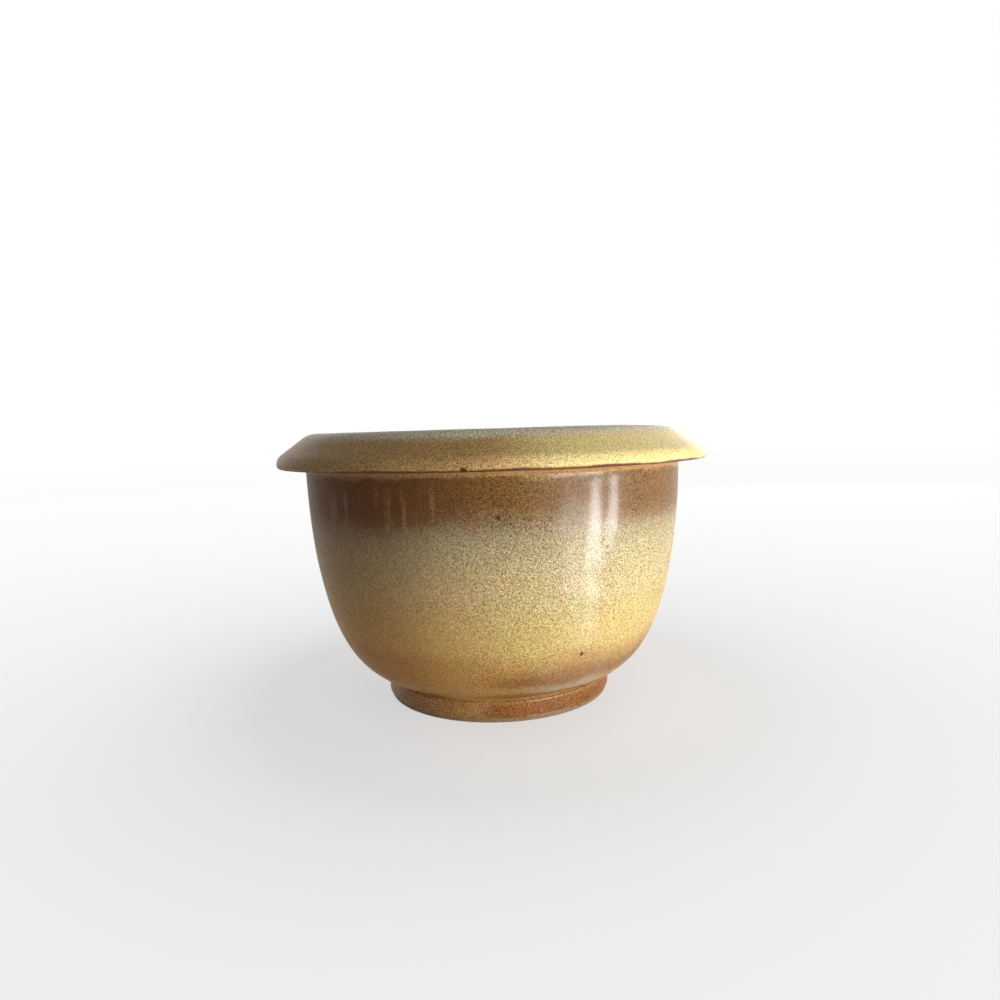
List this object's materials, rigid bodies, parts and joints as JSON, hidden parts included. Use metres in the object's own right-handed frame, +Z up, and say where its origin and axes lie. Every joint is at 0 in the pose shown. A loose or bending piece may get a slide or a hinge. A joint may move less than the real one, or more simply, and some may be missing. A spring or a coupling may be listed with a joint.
{
  "type": "stoneware bowl",
  "caption": "Small round stoneware bowl with an upright wall, full belly, low turned foot ring and a sloping collar rim, under a speckled olive-gold glaze.",
  "frame": {"origin": "centre of the foot ring's resting face, on the axis of the bowl", "axes": "+Z up the axis of the bowl, +X to the right as seen in the picture, +Y away from the viewer; the bowl is round, so X and Y are free"},
  "size_m": [0.088, 0.088, 0.055],
  "materials": {
    "clay": "bare fired stoneware, matte, with fine turning marks",
    "wall_glaze": "semi-gloss olive-gold glaze with fine speckle, brown under the collar and near the foot",
    "collar_glaze": "semi-gloss olive-gold glaze with fine speckle, worn thin to red-brown along the lip",
    "foot_glaze": "semi-gloss thin brown glaze",
    "liner_glaze": "semi-gloss olive-gold glaze with fine speckle"
  },
  "bodies": {
    "root": {"thrown_bowl": "clay", "collar_ring": "clay", "foot_ring": "clay", "wall_glaze": "wall_glaze", "collar_glaze": "collar_glaze", "foot_glaze": "foot_glaze", "liner_glaze": "liner_glaze"}
  },
  "joints": []
}
